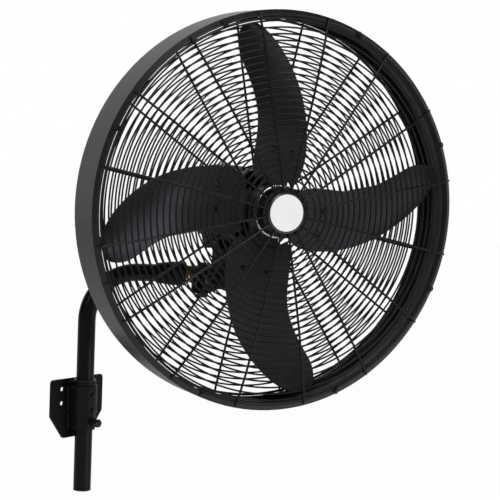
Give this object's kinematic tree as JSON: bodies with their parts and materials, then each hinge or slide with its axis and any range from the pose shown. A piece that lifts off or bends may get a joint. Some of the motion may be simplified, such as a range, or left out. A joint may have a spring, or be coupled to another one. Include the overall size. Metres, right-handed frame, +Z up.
{
  "type": "wall mounted fan",
  "caption": "Drum fan with domed wire guards and curved blades, on a pipe arm that swivels and slides in a wall bracket, with a pan and tilt knuckle.",
  "frame": {"origin": "centre of the four wall bolt holes, on the back face of the wall plate", "axes": "+Z up, +Y into the wall, +X to the right for someone who faces the wall; the fan stands towards -Y"},
  "size_m": [0.7656, 0.681, 1.0379],
  "materials": {
    "bracket_paint": "satin black",
    "arm_paint": "semi-gloss black",
    "cast_paint": "painted casting, black",
    "black_bolts": "blackened",
    "zinc_plate": "yellow zinc plated",
    "nylon": "moulded, black",
    "soft_cap": "moulded, black",
    "motor_paint": "painted casting, black",
    "bright_steel": "bright",
    "core_steel": "laminated",
    "copper_winding": "enamelled wire",
    "box_plastic": "moulded, black",
    "capacitor_can": "moulded, black",
    "guard_paint": "powder coated, black",
    "guard_screws": "plated",
    "drum_paint": "powder coated, semi-gloss black",
    "blade_paint": "satin black",
    "hub_casting": "cast, machined rim",
    "rivet_metal": "painted over",
    "badge_rim_black": "gloss black",
    "badge_white": "gloss white, plain"
  },
  "bodies": {
    "bracket": {"wall_plate": "bracket_paint", "pipe_sleeve": "bracket_paint", "saddle_strap": "bracket_paint", "strap_bolts": "black_bolts"},
    "lock": {"lock_bolt": "black_bolts"},
    "bush": {"sleeve_bush": "nylon"},
    "arm": {"arm_pipe": "arm_paint", "pipe_end_plug": "soft_cap", "arm_socket": "cast_paint", "socket_screws": "black_bolts", "knuckle_stud": "zinc_plate", "knuckle_washer": "zinc_plate", "knuckle_nut": "zinc_plate", "knuckle_yoke": "cast_paint", "swivel_pin": "zinc_plate", "swivel_nut": "zinc_plate"},
    "swivel": {"swivel_link": "cast_paint", "tilt_bolt": "zinc_plate", "tilt_nut": "zinc_plate"},
    "head": {"motor_hanger": "cast_paint", "hanger_bolts": "black_bolts", "motor_housing": "motor_paint", "front_shield": "motor_paint", "rear_shield": "motor_paint", "shield_screws": "bright_steel", "front_bearing": "bright_steel", "rear_bearing": "bright_steel", "stator_core": "core_steel", "stator_coils": "copper_winding", "junction_box": "box_plastic", "junction_lid": "box_plastic", "lid_screws": "black_bolts", "run_capacitor": "capacitor_can", "terminal_block": "box_plastic", "cable_gland": "soft_cap", "rear_centre_disc": "guard_paint", "disc_screws": "bright_steel", "rear_grille": "guard_paint", "rear_grille_screws": "guard_screws", "drum_shell": "drum_paint", "front_grille": "guard_paint", "front_grille_clips": "guard_paint", "front_grille_screws": "guard_screws", "front_centre_plate": "guard_paint", "badge_screw": "bright_steel", "badge_rim": "badge_rim_black", "badge_disc": "badge_white"},
    "rotor": {"motor_shaft": "bright_steel", "rotor_core": "core_steel", "hub": "hub_casting", "shaft_nut": "bright_steel", "blade_rivets": "rivet_metal", "blade_1": "blade_paint", "blade_2": "blade_paint", "blade_3": "blade_paint", "blade_4": "blade_paint"}
  },
  "joints": [
    {"name": "lock_bolt_turn", "type": "hinge", "parent": "bracket", "child": "lock", "pos_m": [0, -0.02832, -0.054], "axis": [0, -1, 0], "range_deg": [0, 360]},
    {"name": "arm_swivel", "type": "hinge", "parent": "bracket", "child": "bush", "pos_m": [0, -0.02832, 0], "axis": [0, 0, 1], "range_deg": [-45, 35]},
    {"name": "arm_lift", "type": "slide", "parent": "bush", "child": "arm", "axis": [0, 0, 1], "range_m": [-0.12, 0.13]},
    {"name": "head_pan", "type": "hinge", "parent": "arm", "child": "swivel", "pos_m": [0.17466, -0.20297, 0.2615], "axis": [0, 0, 1], "range_deg": [-25, 80]},
    {"name": "head_tilt", "type": "hinge", "parent": "swivel", "child": "head", "pos_m": [0.14088, -0.28532, 0.271], "axis": [-0.9252, 0.3795, 0], "range_deg": [-15, 25]},
    {"name": "fan_spin", "type": "hinge", "parent": "head", "child": "rotor", "pos_m": [0.04222, -0.52587, 0.436], "axis": [-0.3795, -0.9252, 0], "continuous": true}
  ]
}
